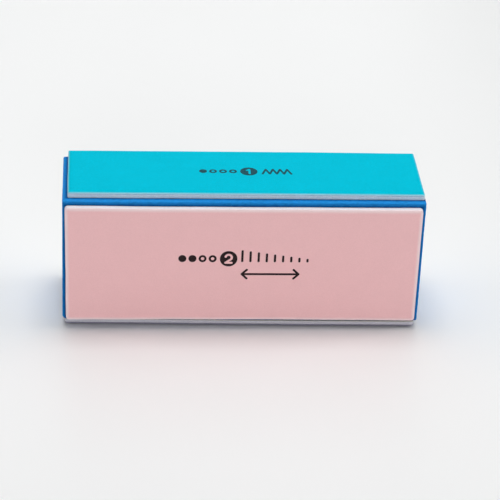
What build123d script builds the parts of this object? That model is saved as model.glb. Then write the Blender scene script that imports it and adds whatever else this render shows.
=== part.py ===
from build123d import *
import os
from typing import NamedTuple

# Four-way nail buffer block, in millimetres: a stick of closed-cell foam with a laminated abrasive
# strip glued to each of its four long faces. The two ends are bare foam.
# The origin is the middle of the block's footprint, on the face of the strip that it lies on. +X runs
# along the block, -Y is the ridge-removing strip at the front, +Y the shining strip at the back, and
# +Z the filing strip on top.

# Foam core
CORE_LENGTH = 95.0
CORE_DEPTH = 26.2
CORE_HEIGHT = 35.6
CORE_EDGE_RADIUS = 0.45  # cut foam has no quite sharp edges

# Layers of every strip and their thicknesses, from the core outwards
LAYERS = (
    ("mount_adhesive", 0.08),
    ("foam_pad", 1.35),
    ("sheet_adhesive", 0.05),
    ("abrasive_sheet", 0.25),
)
STRIP_THICKNESS = sum(thickness for _, thickness in LAYERS)

# The narrow strips lie on the top and bottom faces, and the wide ones on the front and back
NARROW_STRIP = (93.2, 24.5)
WIDE_STRIP = (93.0, 33.2)

# Printed legend
INK_DEPTH = 0.03  # the ink sinks into the grit coat and ends flush with it
STROKE = 0.6
DISC_RADIUS = 2.3
NUMERAL_HEIGHT = 3.0
PIP_RADIUS = 1.05
PIP_PITCH = 2.65
STEPS = 4
DISC_TO_PIPS = 4.2  # disc centre to the nearest pip's centre
DISC_TO_MARK = 3.6  # disc centre to the left end of the process mark


class Strip(NamedTuple):
    """One abrasive strip. Its own +X is the block's, its own +Y is up for a reader of its print."""

    name: str
    step: int
    normal: tuple  # outward, in the block's frame
    reach: float  # from the core's centre to the face that carries the strip
    size: tuple  # length and width
    corner_radius: float
    shift: tuple  # strip's centre from the face's centre, because it is glued by hand
    disc_at: tuple  # legend disc's centre from the strip's centre


STRIPS = (
    Strip("top", 1, (0, 0, 1), CORE_HEIGHT / 2, NARROW_STRIP, 0.4, (0.55, 1.33), (1.1, -0.05)),
    Strip("front", 2, (0, -1, 0), CORE_DEPTH / 2, WIDE_STRIP, 0.8, (-0.05, -0.2), (-3.9, 2.2)),
    Strip("bottom", 3, (0, 0, -1), CORE_HEIGHT / 2, NARROW_STRIP, 0.4, (0, 0.85), (-1.2, 0)),
    Strip("back", 4, (0, 1, 0), CORE_DEPTH / 2, WIDE_STRIP, 0.8, (0.3, -0.2), (0.8, 0)),
)

core_centre = Vector(0, 0, STRIP_THICKNESS + CORE_HEIGHT / 2)


def foam_core():
    """The stick of foam, cut square, with every edge slightly softened."""
    block = Pos(core_centre) * Box(CORE_LENGTH, CORE_DEPTH, CORE_HEIGHT)
    return fillet(block.edges(), CORE_EDGE_RADIUS)


def stroke(path):
    """A path drawn with a round pen."""
    return Sketch() + [SlotArc(edge, STROKE) for edge in path.edges()]


def numeral(step):
    """The step's number, centred on the origin and NUMERAL_HEIGHT tall over its strokes."""
    top = (NUMERAL_HEIGHT - STROKE) / 2
    half_width = 0.68 * top
    bowl = top - half_width  # centre height of an upper bowl
    if step == 1:
        stem_x = 0.15
        path = Polyline((stem_x - 0.65, top - 0.55), (stem_x, top), (stem_x, -top))
        return stroke(path)
    if step == 2:
        crown = CenterArc((0, bowl), half_width, 165, -205)
        foot = Polyline(crown @ 1, (-half_width, -top), (half_width, -top))
        return stroke(crown) + stroke(foot)
    if step == 3:
        upper_radius = 0.47 * top
        lower_radius = top - upper_radius
        upper = CenterArc((0, top - upper_radius), upper_radius, 150, -240)
        lower = CenterArc((0, lower_radius - top), lower_radius, 90, -240)
        return stroke(upper) + stroke(lower)
    stem_x = 0.3
    crossbar_y = -0.45 * top
    arm = Polyline((stem_x, top), (-half_width, crossbar_y), (half_width, crossbar_y))
    stem = Line((stem_x, top), (stem_x, -top))
    return stroke(arm) + stroke(stem)


def step_pips(step):
    """One pip for each step of the routine, filled up to this one and open after it."""
    pips = Sketch()
    for i in range(STEPS):
        pip = Circle(PIP_RADIUS)
        if i >= step:
            pip -= Circle(PIP_RADIUS - STROKE)
        x = -DISC_TO_PIPS - (STEPS - 1 - i) * PIP_PITCH
        pips += Pos(x, 0) * pip
    return pips


def file_mark():
    """A coarse saw-tooth, for filing."""
    tooth_pitch, tooth_height, teeth = 1.9, 2.6, 4
    corners = [
        (DISC_TO_MARK + i * tooth_pitch / 2, tooth_height / 2 * (-1) ** (i + 1))
        for i in range(2 * teeth + 1)
    ]
    return stroke(Polyline(*corners))


def ridge_mark():
    """Upright bars that get shorter, for ridges worn down, over a double-headed stroke arrow."""
    bars, bar_pitch, tallest, shortest, base_y = 9, 2.15, 3.0, 0.5, -0.7
    mark = Sketch()
    for i in range(bars):
        x = DISC_TO_MARK + i * bar_pitch
        height = tallest + (shortest - tallest) * i / (bars - 1)
        mark += stroke(Line((x, base_y), (x, base_y + height)))
    arrow_length, arrow_y, head = 15.0, -4.6, 1.3
    left, right = DISC_TO_MARK, DISC_TO_MARK + arrow_length
    mark += stroke(Line((left, arrow_y), (right, arrow_y)))
    for tip, back in ((left, head), (right, -head)):
        barbs = Polyline((tip + back, arrow_y + head), (tip, arrow_y), (tip + back, arrow_y - head))
        mark += stroke(barbs)
    return mark


def smooth_mark():
    """A gentle wave over a straight line, for smoothing."""
    swell, sag, swells, wave_y, line_y = 3.0, 0.7, 4, 0.9, -1.1
    mark = Sketch()
    for i in range(swells):
        x = DISC_TO_MARK + i * swell
        mark += stroke(SagittaArc((x, wave_y), (x + swell, wave_y), sag * (-1) ** i))
    return mark + stroke(Line((DISC_TO_MARK, line_y), (DISC_TO_MARK + swells * swell, line_y)))


def sparkle(centre, radius):
    """A four-pointed star with hollow sides."""
    star = Rectangle(2 * radius, 2 * radius)
    for corner in GridLocations(2 * radius, 2 * radius, 2, 2):
        star -= corner * Circle(radius)
    return Pos(*centre) * star


def shine_mark():
    """A large and two small sparkles, for shining."""
    mark = sparkle((DISC_TO_MARK + 2.2, 0), 2.2)
    mark += sparkle((DISC_TO_MARK + 5.6, 1.1), 1.2)
    return mark + sparkle((DISC_TO_MARK + 6.9, -1.2), 0.9)


PROCESS_MARKS = {1: file_mark, 2: ridge_mark, 3: smooth_mark, 4: shine_mark}


def legend(step):
    """What is printed on a strip: pips, the step's number left open in a disc, and its mark."""
    disc = Circle(DISC_RADIUS) - numeral(step)
    return step_pips(step) + disc + PROCESS_MARKS[step]()


def build_strip(strip):
    """The four layers of one strip and its print, each a solid in its place on the block."""
    face_centre = core_centre + Vector(*strip.normal) * strip.reach
    face = Plane(origin=face_centre, x_dir=(1, 0, 0), z_dir=strip.normal)
    seat = face * Pos(*strip.shift)
    outline = RectangleRounded(*strip.size, strip.corner_radius)
    pieces = {}
    height = 0
    for layer, thickness in LAYERS:
        pieces[layer] = Pos(0, 0, height) * extrude(outline, thickness)
        height += thickness
    print_seat = Pos(*strip.disc_at, height - INK_DEPTH)
    ink = print_seat * extrude(legend(strip.step), INK_DEPTH)
    pieces["abrasive_sheet"] -= ink
    pieces["legend_ink"] = ink
    return {f"{strip.name}_{layer}": seat * piece for layer, piece in pieces.items()}


def main():
    nodes = {"foam_core": foam_core()}
    for strip in STRIPS:
        nodes.update(build_strip(strip))
    os.makedirs("parts", exist_ok=True)
    for name, piece in nodes.items():
        export_step(piece, f"parts/{name}.step")


main()
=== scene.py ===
import math

import bmesh
import bpy
from mathutils import Matrix, Vector, noise


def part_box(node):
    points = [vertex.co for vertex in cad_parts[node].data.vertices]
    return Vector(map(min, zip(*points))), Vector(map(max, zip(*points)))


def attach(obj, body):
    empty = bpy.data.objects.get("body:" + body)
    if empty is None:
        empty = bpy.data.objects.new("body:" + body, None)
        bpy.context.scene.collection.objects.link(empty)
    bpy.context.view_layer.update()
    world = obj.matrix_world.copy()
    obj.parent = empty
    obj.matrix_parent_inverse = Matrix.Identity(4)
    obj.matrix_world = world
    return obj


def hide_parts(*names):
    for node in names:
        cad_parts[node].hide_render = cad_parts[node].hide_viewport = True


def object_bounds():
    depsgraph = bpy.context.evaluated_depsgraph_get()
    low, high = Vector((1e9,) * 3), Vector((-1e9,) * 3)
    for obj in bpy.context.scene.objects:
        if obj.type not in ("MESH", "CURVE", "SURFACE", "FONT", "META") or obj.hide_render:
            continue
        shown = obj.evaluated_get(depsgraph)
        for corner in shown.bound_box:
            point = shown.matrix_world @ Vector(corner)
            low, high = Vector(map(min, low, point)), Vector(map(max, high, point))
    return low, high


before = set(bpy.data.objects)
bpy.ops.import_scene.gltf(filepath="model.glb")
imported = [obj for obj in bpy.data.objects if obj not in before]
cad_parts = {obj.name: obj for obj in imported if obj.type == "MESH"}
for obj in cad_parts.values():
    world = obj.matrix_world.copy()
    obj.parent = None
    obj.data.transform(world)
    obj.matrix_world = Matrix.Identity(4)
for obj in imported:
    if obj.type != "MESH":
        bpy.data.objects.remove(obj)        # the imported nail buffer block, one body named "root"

# The block is a stick of blue foam with a laminated strip on each of its four long faces. The CAD
# frame gives where every layer lies. Here each foam and sheet gets its real surface: cut foam with
# cells and soft edges, pads whose die-cut sides swell, and grit sheets whose edges roll down.
# Lengths are in millimetres unless a name ends in _M, and meshes are turned into metres when made.

MM = 0.001
BODY = "root"
CAD_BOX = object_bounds()
noise.seed_set(1)  # otherwise the foam's cells, which noise_vector warps, change from run to run

# Camera: the photograph's viewing angle, from the block's left, looking down, slightly rolled
CAMERA_AZIMUTH = -4.78
CAMERA_ELEVATION = 28.94
CAMERA_ROLL = 2.61
CAMERA_DISTANCE = 589.4
CAMERA_LENS = 157.4
CAMERA_SENSOR = 36.0
CAMERA_AIM = Vector((2.8, 0, -3.56))  # from the middle of the foam core
CAMERA_CLIP_M = (0.05, 20.0)

# Meshes
FINE_STEP = 0.12  # grid step beside an edge
FINE_WIDTH = 1.2  # how far from an edge the fine step goes
SHEET_STEP = 0.32  # grid step over a sheet
CORE_STEP = 0.2  # grid step across the foam core
CORE_LONG_STEP = 0.7  # grid step along its covered middle
CORE_EDGE_STEP = 0.14  # grid step beside the core's edges
CORE_EDGE_WIDTH = 1.4  # how far from its edges that step goes
RIM_STEP = 0.15  # step along a pad's edge
FILM_EDGE_STEP = 0.3  # step along an adhesive film's edge, near its corners
FILM_STEP = 1.0  # step along the rest of its edge
ROLL_TURNS = 6  # turns of mesh that follow a rolled edge
PAD_ROWS = 10  # rows of mesh up a pad's cut side

# Strips
PAD_BULGE = 0.05  # how far the middle of a pad's cut side swells out
PAD_SPLAY = 0.12  # how much wider a strip's foot is than its sheet, all round
PAD_INSET = 1.0  # how far in from its edge a pad's hidden lower face is closed
LEAST_RADIUS = 0.05  # of a corner, on the turns inside a strip's outline
BOW_MIDDLE = 0.3  # share of a bow by which it raises an edge's middle, the rest lowers its ends
END_WANDER = (0.08, 0.12)  # height, and rate per millimetre, at which a strip's end wanders
SIDE_WANDER = (0.07, 0.09)  # the same for its long sides
SHEET_WAVE = 0.05  # height of a sheet's slow waves
WAVE_RATES = (0.06, 0.09)  # their rates per millimetre, along the strip and across it
FINE_GRAIN = (0.5, 2.3)  # height and rate of a coat's finer lumps, for 1 of its coarse ones
PRINT_SINK = 0.013  # the sheet's mean surface below the ink's face
PRINT_CLEAR = 3.0  # how far from the print a sheet reaches its full waves

# Foam
CORE_CELL = (0.85, 0.07)  # size and depth of the blue foam's cut cells
PAD_CELL = (0.5, 0.06)
CELL_WALL = (0.05, 0.5)  # distances from a cell's wall where its pit starts and is full, in cells
CELL_WARP = (0.3, 0.8)  # how far the core's cells are pushed out of shape, and rate per millimetre
CORE_EDGE_RADIUS = 0.35
CORE_EDGE_CHANGE = (0.25, 0.15)  # share by which that radius changes, and rate per millimetre
CORE_SWELL = (0.06, 0.11)  # height, and rate per millimetre, of the core's undulation
CORE_SINK = 0.02  # how far below the CAD face it lies on average, so that no swelling stands above it
KNOCKED_CORNERS = (  # corners of the core that are rounder than the rest, and by how much
    ((-1, -1, -1), 0.7),
    ((-1, 1, 1), 0.2),
    ((1, 1, -1), 0.5),
    ((-1, 1, -1), 0.3),
)
KNOCK_REACH = (0.5, 4.5)  # distances from such a corner where the extra rounding is whole and gone
STRIP_SHADE_WIDTH = 1.4  # how far from a strip the core is darkened with painted shade


def smoothstep(value, low, high):
    """0 below low, 1 above high and smooth between."""
    t = min(max((value - low) / (high - low), 0.0), 1.0)
    return t * t * (3 - 2 * t)


def graded(half, edge_step, edge_width, middle_step):
    """Coordinates from -half to half, close together near both ends."""
    edge_count = round(edge_width / edge_step)
    inner = half - edge_width
    middle_count = max(2, round(2 * inner / middle_step))
    left = [-half + edge_width * i / edge_count for i in range(edge_count)]
    middle = [-inner + 2 * inner * i / middle_count for i in range(middle_count + 1)]
    return left + middle + [-value for value in reversed(left)]


# ---------------------------------------------------------------------------------- strips


class Strip:
    """One strip's own frame: u along the block, v up its print and w out of the block, in mm."""

    def __init__(
        self, name, normal, up, radius, roll, wear, grit, bows, skew, slant=0.0, trim=0.0, burr=0.0
    ):
        self.name = name
        self.normal = Vector(normal)
        self.up = Vector(up)
        self.radius = radius  # of the outline's corners
        self.roll_depth, self.roll_width = roll  # how far the die has pressed the edge down
        # How pale the coat is at the face's edge, partly worn coat and partly painted highlight on the
        # rolled edge, how far in that goes, and how pale its cut side is
        self.wear, self.wear_width, self.side_wear = wear
        self.grit = grit  # (height, size) of the coat's lumps
        self.bows = bows  # (top edge, bottom edge), how far each edge's ends lie below its middle
        self.skew = math.radians(skew)  # glued slightly askew
        self.slant = slant  # how far the left end's cut leans in towards the strip's bottom edge
        self.trim = trim  # how much too narrow it was cut, all of it off the bottom edge
        self.burr = burr  # how far the die has dragged the sheet's cut edge down over the pad
        low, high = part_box(self.node("mount_adhesive"))
        along = Vector((1, 0, 0))
        self.half_length = (high - low).dot(along) / 2 / MM
        self.half_width = abs((high - low).dot(self.up)) / 2 / MM
        inner = min(low.dot(self.normal), high.dot(self.normal))
        centre = (low + high) / 2
        centre += self.normal * (inner - centre.dot(self.normal))
        self.to_world = Matrix.Translation(centre) @ Matrix(
            (
                (along.x * MM, self.up.x * MM, self.normal.x * MM, 0),
                (along.y * MM, self.up.y * MM, self.normal.y * MM, 0),
                (along.z * MM, self.up.z * MM, self.normal.z * MM, 0),
                (0, 0, 0, 1),
            )
        )
        self.to_local = self.to_world.inverted()
        self.heights = {
            layer: self.reach(layer)
            for layer in ("mount_adhesive", "foam_pad", "sheet_adhesive", "abrasive_sheet")
        }
        self.print_box = self.flat_box("legend_ink")

    def node(self, layer):
        return f"{self.name}_{layer}"

    def local_corners(self, layer):
        return [self.to_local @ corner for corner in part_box(self.node(layer))]

    def reach(self, layer):
        """Lowest and highest w of a layer."""
        heights = [corner.z for corner in self.local_corners(layer)]
        return min(heights), max(heights)

    def flat_box(self, layer):
        """Lowest u, highest u, lowest v and highest v of a layer."""
        corners = self.local_corners(layer)
        us = [corner.x for corner in corners]
        vs = [corner.y for corner in corners]
        return min(us), max(us), min(vs), max(vs)

    def edge_distance(self, u, v):
        return min(self.half_length - abs(u), self.half_width - abs(v))

    def drop(self, u, v):
        """How far the die's cut has pressed the strip's edge down at this place."""
        beyond = 1 - self.edge_distance(u, v) / self.roll_width
        return self.roll_depth * max(beyond, 0) ** 2

    def roll_insets(self):
        """Insets of the turns that follow the rolled edge, from the edge inwards."""
        return [self.roll_width * turn / ROLL_TURNS for turn in range(ROLL_TURNS + 1)]

    def splay(self, height):
        """How far out the strip's side stands at a height, because the die cuts it a little slanted."""
        return PAD_SPLAY * (1 - min(height / self.heights["abrasive_sheet"][0], 1.0))

    def edge_wear(self, u, v):
        """How pale the coat is at a place, from 0 inside to the strip's value at its edge: worn coat with
        painted highlight.
        """
        return self.wear * (1 - smoothstep(self.edge_distance(u, v), 0, self.wear_width))

    def outline_point(self, u, v, inset=0.0):
        """A point of the square grid moved to the strip's real outline, then inwards by inset."""
        a, b = self.half_length - inset, self.half_width - inset
        u *= a / self.half_length
        v *= b / self.half_width
        r = max(self.radius - inset, LEAST_RADIUS)
        du, dv = abs(u) - (a - r), abs(v) - (b - r)
        if du > 0 and dv > 0:
            pull = max(du, dv) / math.hypot(du, dv)
            u = math.copysign(a - r + du * pull, u)
            v = math.copysign(b - r + dv * pull, v)
        return self.by_hand(u, v)

    def strip_shade_at(self, place):
        """How much painted shade darkens the core at a place in the block's frame, in metres, beside a
        strip.
        """
        u, v, w = self.to_local @ place
        if abs(w) > CORE_EDGE_RADIUS:
            return 0.0
        return 1 - smoothstep(-self.edge_distance(u, v), 0, STRIP_SHADE_WIDTH)

    def by_hand(self, u, v):
        """The small errors of a strip cut and glued by hand: bowed edges, a wander and a skew."""
        along = (u / self.half_length) ** 2 - BOW_MIDDLE
        top_bow, bottom_bow = self.bows
        bow = top_bow if v > 0 else bottom_bow
        edge = (abs(v) / self.half_width) ** 3
        # The last coordinate of each noise only keeps opposite edges from wandering alike
        end_height, end_rate = END_WANDER
        side_height, side_rate = SIDE_WANDER
        wander_u = end_height * noise.noise(Vector((v * end_rate, self.half_width, math.copysign(3, u))))
        wander_v = side_height * noise.noise(Vector((u * side_rate, self.half_length, math.copysign(5, v))))
        end = (abs(u) / self.half_length) ** 3
        du = wander_u * end
        if u < 0:
            du -= self.slant * v / self.half_width * end
        dv = wander_v * edge - bow * along * edge
        if v < 0:
            dv += self.trim * edge
        return u + du - self.skew * v, v + dv + self.skew * u

    def wave(self, u, v):
        """A sheet's slow waves, none of them where it is printed."""
        low_u, high_u, low_v, high_v = self.print_box
        away = max(low_u - u, u - high_u, low_v - v, v - high_v, 0)
        slow = noise.noise(Vector((u * WAVE_RATES[0], v * WAVE_RATES[1], self.half_width)))
        return SHEET_WAVE * slow * smoothstep(away, 0, PRINT_CLEAR)

    def grain(self, u, v):
        """The lumps of the grit coat."""
        height, size = self.grit
        fine_height, fine_rate = FINE_GRAIN
        place = Vector((u / size, v / size, self.half_width))
        return height * (noise.noise(place) + fine_height * noise.noise(place * fine_rate))


STRIPS = [
    Strip(
        "top", (0, 0, 1), (0, 1, 0), 0.35, roll=(0.34, 1.3), wear=(0.35, 0.4, 0.9), grit=(0.009, 0.55),
        bows=(0.15, 0.05), skew=0.0, burr=0.22,
    ),
    Strip(
        "front", (0, -1, 0), (0, 0, 1), 0.8, roll=(0.3, 1.6), wear=(0.85, 1.1, 1.0), grit=(0.007, 0.6),
        bows=(-0.12, 0.2), skew=0.0, slant=0.16, trim=0.1,
    ),
    Strip(
        "bottom", (0, 0, -1), (0, -1, 0), 0.4, roll=(0.48, 2.2), wear=(0.1, 0.6, 0.0), grit=(0.005, 0.5),
        bows=(0.1, 0.1), skew=0.7,
    ),
    Strip(
        "back", (0, 1, 0), (0, 0, -1), 0.8, roll=(0.3, 1.5), wear=(0.7, 0.8, 1.0), grit=(0.004, 0.5),
        bows=(0.1, -0.1), skew=0.15,
    ),
]


# ---------------------------------------------------------------------------------- meshes


def finish_mesh(name, bm, to_world, material, replaced):
    """Turns a bmesh in millimetres into a finished piece that stands for a CAD node."""
    bm.transform(to_world)
    bmesh.ops.recalc_face_normals(bm, faces=bm.faces)
    mesh = bpy.data.meshes.new(name)
    bm.to_mesh(mesh)
    bm.free()
    mesh.polygons.foreach_set("use_smooth", [True] * len(mesh.polygons))
    mesh.materials.append(material)
    piece = bpy.data.objects.new(name, mesh)
    bpy.context.scene.collection.objects.link(piece)
    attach(piece, BODY)
    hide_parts(replaced)
    return piece


def perimeter(us, vs):
    """The grid's boundary as (u, v) pairs, once round."""
    bottom = [(u, vs[0]) for u in us[:-1]]
    right = [(us[-1], v) for v in vs[:-1]]
    top = [(u, vs[-1]) for u in reversed(us[1:])]
    left = [(us[0], v) for v in reversed(vs[1:])]
    return bottom + right + top + left


def add_ring(bm, points):
    return [bm.verts.new(point) for point in points]


def bridge(bm, first, second):
    """Quads between two rings with the same number of vertices."""
    count = len(first)
    for i in range(count):
        j = (i + 1) % count
        bm.faces.new((first[i], first[j], second[j], second[i]))


def bridge_all(bm, rings):
    for first, second in zip(rings, rings[1:]):
        bridge(bm, first, second)


def flat_ring(bm, strip, rim, height, inset=0.0, follow=0.0):
    """One turn of a layer at a height, which follows the strip's pressed edge as much as asked."""
    points = []
    for u, v in rim:
        x, y = strip.outline_point(u, v, inset - strip.splay(height))
        scale_u = 1 - inset / strip.half_length
        scale_v = 1 - inset / strip.half_width
        points.append((x, y, height - follow * strip.drop(u * scale_u, v * scale_v)))
    return add_ring(bm, points)


def layer_follow(strip, height):
    """How much a height in the strip is pressed down at the edge: nothing at the core, all on top."""
    top = strip.heights["abrasive_sheet"][0]
    return min(height / top, 1.0)


def film(strip, layer):
    """A thin film between two layers, bent with them at the edge."""
    low, high = strip.heights[layer]
    rim = perimeter(
        graded(strip.half_length, FILM_EDGE_STEP, FINE_WIDTH, FILM_STEP),
        graded(strip.half_width, FILM_EDGE_STEP, FINE_WIDTH, FILM_STEP),
    )
    bm = bmesh.new()
    insets = strip.roll_insets()
    under = [
        flat_ring(bm, strip, rim, low, inset, layer_follow(strip, low)) for inset in reversed(insets)
    ]
    over = [flat_ring(bm, strip, rim, high, inset, layer_follow(strip, high)) for inset in insets]
    rings = under + over
    bridge_all(bm, rings)
    bm.faces.new(rings[0])
    bm.faces.new(rings[-1])
    return finish_mesh(
        f"{strip.name}_{layer}_film", bm, strip.to_world, MATERIALS["adhesive_film"],
        strip.node(layer),
    )


def cell_pit(place, size):
    """How open a cut foam surface is at a place, 0 on the walls between cells to 1 in a cell."""
    distances, _ = noise.voronoi(place / size)
    wall = distances[1] - distances[0]
    return smoothstep(wall, *CELL_WALL)


def foam_pad(strip):
    """A white foam pad: hidden flat faces, and a cut side that swells a little and shows its cells."""
    low, high = strip.heights["foam_pad"]
    rim = perimeter(
        graded(strip.half_length, RIM_STEP, FINE_WIDTH, RIM_STEP),
        graded(strip.half_width, RIM_STEP, FINE_WIDTH, RIM_STEP),
    )
    cell_size, cell_depth = PAD_CELL
    bm = bmesh.new()
    pit_layer = bm.verts.layers.float.new("pit")
    rings = [flat_ring(bm, strip, rim, low, PAD_INSET)]
    for row in range(PAD_ROWS + 1):
        t = row / PAD_ROWS
        height = low + (high - low) * t
        follow = layer_follow(strip, height)
        bulge = PAD_BULGE * math.sin(math.pi * t)
        ring = []
        for u, v in rim:
            edge_u, edge_v = strip.outline_point(u, v, -strip.splay(height))
            inner_u, inner_v = strip.outline_point(u, v, PAD_INSET)
            inward = Vector((inner_u - edge_u, inner_v - edge_v, 0)).normalized()
            w = height - follow * strip.roll_depth
            place = Vector((edge_u, edge_v, w + strip.half_width))
            pit = cell_pit(place, cell_size) if 0 < row < PAD_ROWS else 0.5
            ring.append(bm.verts.new(Vector((edge_u, edge_v, w)) + inward * (cell_depth * pit - bulge)))
            ring[-1][pit_layer] = pit
        rings.append(ring)
    rings += [flat_ring(bm, strip, rim, high, inset, 1.0) for inset in strip.roll_insets()[1:]]
    bridge_all(bm, rings)
    bm.faces.new(rings[0])
    bm.faces.new(rings[-1])
    pad = finish_mesh(
        f"{strip.name}_cushion_pad", bm, strip.to_world, PAD_MATERIALS[strip.name],
        strip.node("foam_pad"),
    )
    return pad


def abrasive_sheet(strip):
    """A grit-coated sheet: a gently waved face with a lumpy coat, and edges that roll down."""
    low, high = strip.heights["abrasive_sheet"]
    us = graded(strip.half_length, FINE_STEP, FINE_WIDTH, SHEET_STEP)
    vs = graded(strip.half_width, FINE_STEP, FINE_WIDTH, SHEET_STEP)
    bm = bmesh.new()
    wear = bm.verts.layers.float.new("wear")
    grid = {}
    for i, u in enumerate(us):
        for j, v in enumerate(vs):
            x, y = strip.outline_point(u, v)
            surface = high - PRINT_SINK - strip.drop(u, v) + strip.grain(x, y) + strip.wave(x, y)
            grid[i, j] = bm.verts.new((x, y, min(surface, high)))
            # the face's edge paled: worn coat with painted highlight
            grid[i, j][wear] = strip.edge_wear(u, v)
    for i in range(len(us) - 1):
        for j in range(len(vs) - 1):
            bm.faces.new((grid[i, j], grid[i + 1, j], grid[i + 1, j + 1], grid[i, j + 1]))
    rim = perimeter(us, vs)
    rings = [[grid[key] for key in perimeter(range(len(us)), range(len(vs)))]]
    thickness = high - low
    cut_side = (  # (height, inset) of the turns down the sheet's cut side, which bulges a little
        (high - 0.25 * thickness, -0.05),
        (high - 0.6 * thickness, -0.07),
        (low, -0.05),
        (low - strip.burr, 0.0),
    )
    for height, inset in cut_side:
        rings.append(flat_ring(bm, strip, rim, height, inset, 1.0))
        for edge_vert in rings[-1]:
            edge_vert[wear] = strip.side_wear
    rings += [flat_ring(bm, strip, rim, low, inset, 1.0) for inset in strip.roll_insets()[1:]]
    bridge_all(bm, rings)
    bm.faces.new(rings[-1])
    slot = f"abrasive_{SHEET_COLOURS[strip.name]}"
    return finish_mesh(
        f"{strip.name}_grit_sheet", bm, strip.to_world, MATERIALS[slot], strip.node("abrasive_sheet"),
    )


def foam_core():
    """The blue foam stick: a rounded block whose cut faces undulate and show their cells."""
    low, high = (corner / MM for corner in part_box("foam_core"))
    centre, half = (low + high) / 2, (high - low) / 2
    lines = [
        graded(half.x, CORE_EDGE_STEP, CORE_EDGE_WIDTH, CORE_LONG_STEP),
        graded(half.y, CORE_EDGE_STEP, CORE_EDGE_WIDTH, CORE_STEP),
        graded(half.z, CORE_EDGE_STEP, CORE_EDGE_WIDTH, CORE_STEP),
    ]
    counts = [len(line) - 1 for line in lines]
    bm = bmesh.new()
    pit_layer = bm.verts.layers.float.new("pit")
    strip_shade_layer = bm.verts.layers.float.new("strip_shade")
    verts = {}

    def vert(key):
        if key not in verts:
            place = Vector([lines[axis][key[axis]] for axis in range(3)])
            point, pit = core_surface(place, half)
            made = bm.verts.new(point + centre)
            made[pit_layer] = pit
            # painted shade beside the strips, kept on the core's vertices
            made[strip_shade_layer] = max(strip.strip_shade_at((place + centre) * MM) for strip in STRIPS)
            verts[key] = made
        return verts[key]

    for axis in range(3):
        first, second = (other for other in range(3) if other != axis)
        for side in (0, counts[axis]):
            for i in range(counts[first]):
                for j in range(counts[second]):
                    corners = []
                    for di, dj in ((0, 0), (1, 0), (1, 1), (0, 1)):
                        key = [0, 0, 0]
                        key[axis], key[first], key[second] = side, i + di, j + dj
                        corners.append(vert(tuple(key)))
                    bm.faces.new(corners)
    core = finish_mesh(
        "foam_core_block", bm, Matrix.Diagonal((MM, MM, MM, 1)), MATERIALS["core_foam"],
        "foam_core",
    )
    return core


def core_surface(place, half):
    """A point of the square block moved to the real foam surface, and how deep in a cell it is."""
    cell_size, cell_depth = CORE_CELL
    radius_change, radius_rate = CORE_EDGE_CHANGE
    r = CORE_EDGE_RADIUS * (1 + radius_change * noise.noise(place * radius_rate))
    for (sign_x, sign_y, sign_z), extra in KNOCKED_CORNERS:
        corner = Vector((sign_x * half.x, sign_y * half.y, sign_z * half.z))
        r += extra * (1 - smoothstep((place - corner).length, *KNOCK_REACH))
    inner = Vector([math.copysign(max(half[k] - r, 0), place[k]) for k in range(3)])
    inner = Vector([place[k] if abs(place[k]) < abs(inner[k]) else inner[k] for k in range(3)])
    normal = (place - inner).normalized()
    swell_height, swell_rate = CORE_SWELL
    swell = swell_height * noise.noise(place * swell_rate)
    warp_size, warp_rate = CELL_WARP
    warp = warp_size * noise.noise_vector(place * warp_rate)
    pit = cell_pit(place + warp, cell_size)
    return inner + normal * (r - CORE_SINK + min(swell, CORE_SINK) - cell_depth * pit), pit


# ---------------------------------------------------------------------------------- materials


class Nodes:
    """Shorthand for a node material: nodes made in a line, with sockets linked by name."""

    def __init__(self, name):
        self.material = bpy.data.materials.new(name)
        self.material.use_nodes = True
        self.tree = self.material.node_tree
        self.shader = self.tree.nodes["Principled BSDF"]
        self.place = self.add("ShaderNodeTexCoord").outputs["Object"]

    def add(self, kind, **settings):
        node = self.tree.nodes.new(kind)
        for key, value in settings.items():
            setattr(node, key, value)
        return node

    def link(self, output, socket):
        self.tree.links.new(output, socket)

    def set(self, **values):
        for name, value in values.items():
            self.shader.inputs[name.replace("_", " ")].default_value = value

    def noise(self, size, detail=2.0, rough=0.5):
        """Noise whose lumps are about size millimetres."""
        node = self.add("ShaderNodeTexNoise")
        node.inputs["Scale"].default_value = 1 / (size * MM)
        node.inputs["Detail"].default_value = detail
        node.inputs["Roughness"].default_value = rough
        self.link(self.place, node.inputs["Vector"])
        return node.outputs["Fac"]

    def cells(self, size, feature="F1"):
        """Cells about size millimetres across."""
        node = self.add("ShaderNodeTexVoronoi", feature=feature)
        node.inputs["Scale"].default_value = 1 / (size * MM)
        self.link(self.place, node.inputs["Vector"])
        return node

    def attribute(self, name):
        """A value kept on the mesh's vertices, 0 on a mesh that has none."""
        return self.add("ShaderNodeAttribute", attribute_name=name).outputs["Fac"]

    def ramp(self, fac, stops):
        """Colours or grey values along a factor, as (position, colour) pairs."""
        node = self.add("ShaderNodeValToRGB")
        elements = node.color_ramp.elements
        while len(elements) < len(stops):
            elements.new(0.5)
        for element, (position, colour) in zip(elements, stops):
            element.position = position
            element.color = (*colour, 1) if isinstance(colour, tuple) else (colour,) * 3 + (1,)
        self.link(fac, node.inputs["Fac"])
        return node.outputs["Color"]

    def mix(self, fac, first, second, mode="MIX"):
        """Two colours mixed by a factor, each a number, a colour or another node's output."""
        node = self.add("ShaderNodeMix", data_type="RGBA", blend_type=mode)
        for value, socket in ((fac, 0), (first, 6), (second, 7)):
            if isinstance(value, (int, float)):
                node.inputs[socket].default_value = value
            elif isinstance(value, tuple):
                node.inputs[socket].default_value = (*value, 1)
            else:
                self.link(value, node.inputs[socket])
        return node.outputs[2]

    def bump(self, height, depth, strength=1.0, after=None):
        """Bump of a depth in millimetres."""
        node = self.add("ShaderNodeBump")
        node.inputs["Distance"].default_value = depth * MM
        node.inputs["Strength"].default_value = strength
        self.link(height, node.inputs["Height"])
        if after is not None:
            self.link(after, node.inputs["Normal"])
        return node.outputs["Normal"]


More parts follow.
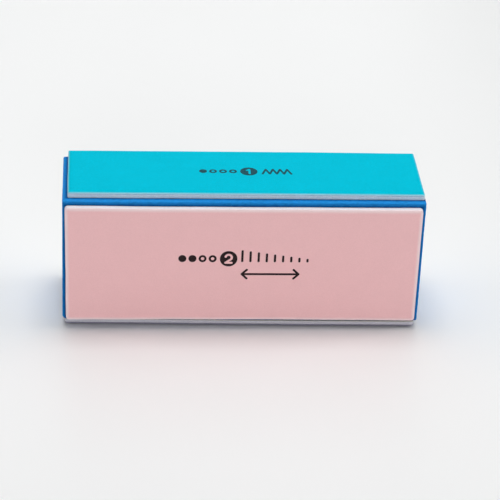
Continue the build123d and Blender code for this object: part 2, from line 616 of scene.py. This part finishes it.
def linear(red, green, blue):
    """A colour given as it looks on screen, 0 to 255, as Blender's linear colour."""
    values = (channel / 255 for channel in (red, green, blue))
    return tuple(v / 12.92 if v <= 0.04045 else ((v + 0.055) / 1.055) ** 2.4 for v in values)


def scaled(colour, factor):
    return tuple(min(channel * factor, 1.0) for channel in colour)


def blend(first, second, share):
    """A colour between two, with a share of the second."""
    return tuple(a + (b - a) * share for a, b in zip(first, second))


BARE_FILM = linear(255, 251, 253)  # the white film under a grit coat
STRIP_SHADE_COLOUR = linear(0, 50, 115)  # painted shade: the core's darker colour beside a strip
COAT_ON_WEAR_AND_HIGHLIGHT = 0.3  # share of the coat's colour left on its pale edges, which are worn coat with painted highlight
WHITE = (1, 1, 1)
GLOSS_TINT = 0.9  # how much a coat or foam tints its own gloss


def tinted_gloss(colour):
    """The tint of a surface's gloss, for the shader's own socket."""
    return (*blend(WHITE, colour, GLOSS_TINT), 1)


def abrasive_material(name, colour, grain_size, contrast, roughness, depth):
    """A grit coat: colour that changes from grain to grain, slow mottling and sharp tiny relief."""
    m = Nodes(name)
    grains = m.cells(grain_size)
    tone = m.ramp(
        grains.outputs["Color"],
        [(0.0, scaled(colour, 1 - contrast)), (0.6, colour), (1.0, scaled(colour, 1 + contrast))],
    )
    mottle = m.ramp(m.noise(5.0, 4.0, 0.6), [(0.35, 1 - 0.3 * contrast), (0.65, 1.0)])
    coat = m.mix(1.0, tone, mottle, "MULTIPLY")
    # Pale edges: worn coat, and painted highlight where the rolled edge catches the light
    wear_and_highlight_amount = m.mix(0.3, m.attribute("wear"), m.noise(0.5, 3.0, 0.6), "MULTIPLY")
    m.link(m.mix(wear_and_highlight_amount, coat, blend(BARE_FILM, colour, COAT_ON_WEAR_AND_HIGHLIGHT)), m.shader.inputs["Base Color"])
    sheen_spots = m.ramp(m.noise(grain_size * 1.7, 2.0), [(0.3, roughness - 0.12), (0.7, roughness + 0.1)])
    m.link(sheen_spots, m.shader.inputs["Roughness"])
    coarse = m.bump(m.noise(grain_size * 5, 3.0), depth * 1.5, 0.6)
    fine = m.bump(grains.outputs["Distance"], depth, 0.8, coarse)
    m.link(fine, m.shader.inputs["Normal"])
    m.set(Specular_IOR_Level=0.03, Specular_Tint=tinted_gloss(colour))
    return m.material


def foam_material(name, colour, cell_size, depth, contrast):
    """Foam: cell walls painted paler and cell middles darker as shade in the cells, painted shade in its
    pits and beside a strip, a little light inside.
    """
    m = Nodes(name)
    cells = m.cells(cell_size, "DISTANCE_TO_EDGE")
    # Painted shade: cell walls paler and cell middles darker, as shade falls into the open cells
    shade = m.ramp(
        cells.outputs["Distance"],
        [(0.0, scaled(colour, 1 + contrast)), (0.18, colour), (0.6, scaled(colour, 1 - contrast))],
    )
    mottle = m.ramp(m.noise(3.0, 4.0, 0.6), [(0.3, 1 - 0.5 * contrast), (0.7, 1.0)])
    shade = m.mix(1.0, shade, mottle, "MULTIPLY")
    # Painted shade in the pits that the mesh cuts into the foam
    painted_pit_shade = m.ramp(m.attribute("pit"), [(0.0, 1.0), (1.0, 1 - 1.2 * contrast)])
    shade = m.mix(1.0, shade, painted_pit_shade, "MULTIPLY")
    # Painted shade: the core darkened beside each strip
    strip_shade_amount = m.mix(0.4, m.attribute("strip_shade"), m.noise(0.7, 3.0, 0.6), "MULTIPLY")
    m.link(m.mix(strip_shade_amount, shade, STRIP_SHADE_COLOUR), m.shader.inputs["Base Color"])
    m.link(m.ramp(m.noise(cell_size * 3), [(0.3, 0.62), (0.7, 0.85)]), m.shader.inputs["Roughness"])
    soft = m.bump(m.noise(cell_size * 4, 3.0), depth, 0.5)
    m.link(m.bump(cells.outputs["Distance"], depth, 0.7, soft), m.shader.inputs["Normal"])
    m.set(Specular_IOR_Level=0.06, Specular_Tint=tinted_gloss(colour))
    m.set(Subsurface_Weight=0.15, Subsurface_Scale=0.6 * MM, Subsurface_Radius=(1.0, 1.0, 1.0))
    return m.material


def film_material(name, colour):
    """Pressure-sensitive adhesive film: a yellowish, slightly cloudy plastic."""
    m = Nodes(name)
    cloud = m.ramp(m.noise(0.8, 3.0), [(0.3, scaled(colour, 0.88)), (0.7, colour)])
    m.link(cloud, m.shader.inputs["Base Color"])
    m.link(m.ramp(m.noise(0.3), [(0.3, 0.3), (0.7, 0.45)]), m.shader.inputs["Roughness"])
    m.link(m.bump(m.noise(0.25), 0.01), m.shader.inputs["Normal"])
    return m.material


def ink_material(name, colour):
    """Screen-printed ink: near black, with grit showing through as tiny paler specks."""
    m = Nodes(name)
    specks = m.ramp(m.noise(0.16, 2.0, 0.6), [(0.5, colour), (0.78, scaled(colour, 4.0))])
    m.link(specks, m.shader.inputs["Base Color"])
    m.link(m.ramp(m.noise(0.2), [(0.3, 0.45), (0.7, 0.7)]), m.shader.inputs["Roughness"])
    m.link(m.bump(m.noise(0.14, 2.0), 0.02), m.shader.inputs["Normal"])
    m.set(Specular_IOR_Level=0.08)
    return m.material


def floor_material(name, colour):
    """A white, faintly glossy table."""
    m = Nodes(name)
    drift = m.ramp(m.noise(220.0, 2.0), [(0.3, scaled(colour, 0.992)), (0.7, colour)])
    m.link(drift, m.shader.inputs["Base Color"])
    m.link(m.ramp(m.noise(30.0), [(0.3, 0.3), (0.7, 0.34)]), m.shader.inputs["Roughness"])
    m.set(Specular_IOR_Level=0.35)
    return m.material


SHEET_COLOURS = {"top": "turquoise", "front": "pink", "bottom": "grey", "back": "white"}
COAT = {
    "turquoise": linear(0, 196, 222),
    "pink": linear(254, 203, 205),
    "white": linear(236, 236, 232),
    "grey": linear(134, 130, 156),
}
MATERIALS = {
    "core_foam": foam_material("blue_foam", linear(36, 143, 222), 0.3, 0.05, 0.12),
    "adhesive_film": film_material("adhesive_film", linear(226, 224, 210)),
    "abrasive_turquoise": abrasive_material("turquoise_grit", COAT["turquoise"], 0.16, 0.1, 0.75, 0.02),
    "abrasive_pink": abrasive_material("pink_grit", COAT["pink"], 0.13, 0.05, 0.75, 0.015),
    "abrasive_white": abrasive_material("white_grit", COAT["white"], 0.1, 0.05, 0.6, 0.01),
    "abrasive_grey": abrasive_material("grey_shine_film", COAT["grey"], 0.08, 0.05, 0.42, 0.004),
}
INK = linear(12, 6, 8)
INK_MATERIALS = {  # the ink is thin, so a little of the coat shows through it
    name: ink_material(f"black_ink_{name}", blend(INK, COAT[SHEET_COLOURS[name]], share))
    for name, share in {"top": 0.1, "front": 0.015, "bottom": 0.02, "back": 0.01}.items()
}
WHITE_FOAM = linear(248, 248, 253)
COAT_DUST_AND_SHADE = {"top": 0.2, "front": 0.15, "bottom": 0.45, "back": 0.2}  # share of the coat's colour on a pad: its dust, and on the bottom pad also painted shade
PAD_MATERIALS = {
    name: foam_material(
        f"white_foam_{name}", blend(WHITE_FOAM, COAT[SHEET_COLOURS[name]], share), 0.3, 0.06, 0.06
    )
    for name, share in COAT_DUST_AND_SHADE.items()
}

foam_core()
for strip in STRIPS:
    film(strip, "mount_adhesive")
    foam_pad(strip)
    film(strip, "sheet_adhesive")
    abrasive_sheet(strip)
    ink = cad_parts[strip.node("legend_ink")]
    ink.material_slots[0].material = INK_MATERIALS[strip.name]


# ---------------------------------------------------------------------------------- stage

FLOOR_SIZE_M = 6.0
FLOOR_COLOUR = linear(246, 247, 247)
SOFTBOXES = (  # name, place in metres from the block's middle, side in metres, power in watts
    ("ceiling_softbox", (0, 0.5, 0.9), 1.2, 4.4),
    ("overhead_softbox", (0, 0.05, 0.7), 0.3, 1.78),
    ("rear_softbox", (0, 1.1, 0.35), 0.5, 0.88),
    ("right_softbox", (0.9, 0.1, 0.5), 0.5, 2.6),
    ("left_softbox", (-0.9, 0.1, 0.5), 0.5, 1.2),
    ("front_fill", (0, -0.95, 0.2), 0.4, 2.65),
)
SKY_STRENGTH = 0.15
FLOOR_GAP_M = 0.00002  # keeps the print underneath from lying in the floor's own plane


def make_floor():
    bm = bmesh.new()
    bmesh.ops.create_grid(bm, x_segments=8, y_segments=8, size=FLOOR_SIZE_M / 2)
    mesh = bpy.data.meshes.new("floor")
    bm.to_mesh(mesh)
    bm.free()
    mesh.materials.append(floor_material("white_table", FLOOR_COLOUR))
    floor = bpy.data.objects.new("floor", mesh)
    floor.location.z = CAD_BOX[0].z - FLOOR_GAP_M
    bpy.context.scene.collection.objects.link(floor)


def area_light(name, place, side, power):
    """A square softbox that faces the block."""
    centre = (CAD_BOX[0] + CAD_BOX[1]) / 2
    light = bpy.data.lights.new(name, "AREA")
    light.size = side
    light.energy = power
    lamp = bpy.data.objects.new(name, light)
    lamp.location = centre + Vector(place)
    lamp.rotation_mode = "QUATERNION"
    lamp.rotation_quaternion = (-Vector(place)).to_track_quat("-Z", "Y")
    bpy.context.scene.collection.objects.link(lamp)


def make_light():
    """Softboxes, and an even white sky that fills the shadows."""
    for softbox in SOFTBOXES:
        area_light(*softbox)
    world = bpy.data.worlds.new("studio")
    world.use_nodes = True
    background = world.node_tree.nodes["Background"]
    background.inputs["Color"].default_value = (1.0, 1.0, 1.0, 1)
    background.inputs["Strength"].default_value = SKY_STRENGTH
    bpy.context.scene.world = world


def make_camera():
    low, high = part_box("foam_core")
    aim = (low + high) / 2 + CAMERA_AIM * MM
    azimuth, elevation = math.radians(CAMERA_AZIMUTH), math.radians(CAMERA_ELEVATION)
    back = Vector(
        (
            math.sin(azimuth) * math.cos(elevation),
            -math.cos(azimuth) * math.cos(elevation),
            math.sin(elevation),
        )
    )
    data = bpy.data.cameras.new("camera")
    data.lens = CAMERA_LENS
    data.sensor_width = CAMERA_SENSOR
    data.clip_start, data.clip_end = CAMERA_CLIP_M
    camera = bpy.data.objects.new("camera", data)
    camera.location = aim + back * CAMERA_DISTANCE * MM
    camera.rotation_mode = "QUATERNION"
    level = (-back).to_track_quat("-Z", "Y")
    roll = Matrix.Rotation(math.radians(CAMERA_ROLL), 4, "Z").to_quaternion()
    camera.rotation_quaternion = level @ roll
    bpy.context.scene.collection.objects.link(camera)
    bpy.context.scene.camera = camera


make_floor()
make_light()
make_camera()
bpy.context.scene.view_settings.view_transform = "Standard"
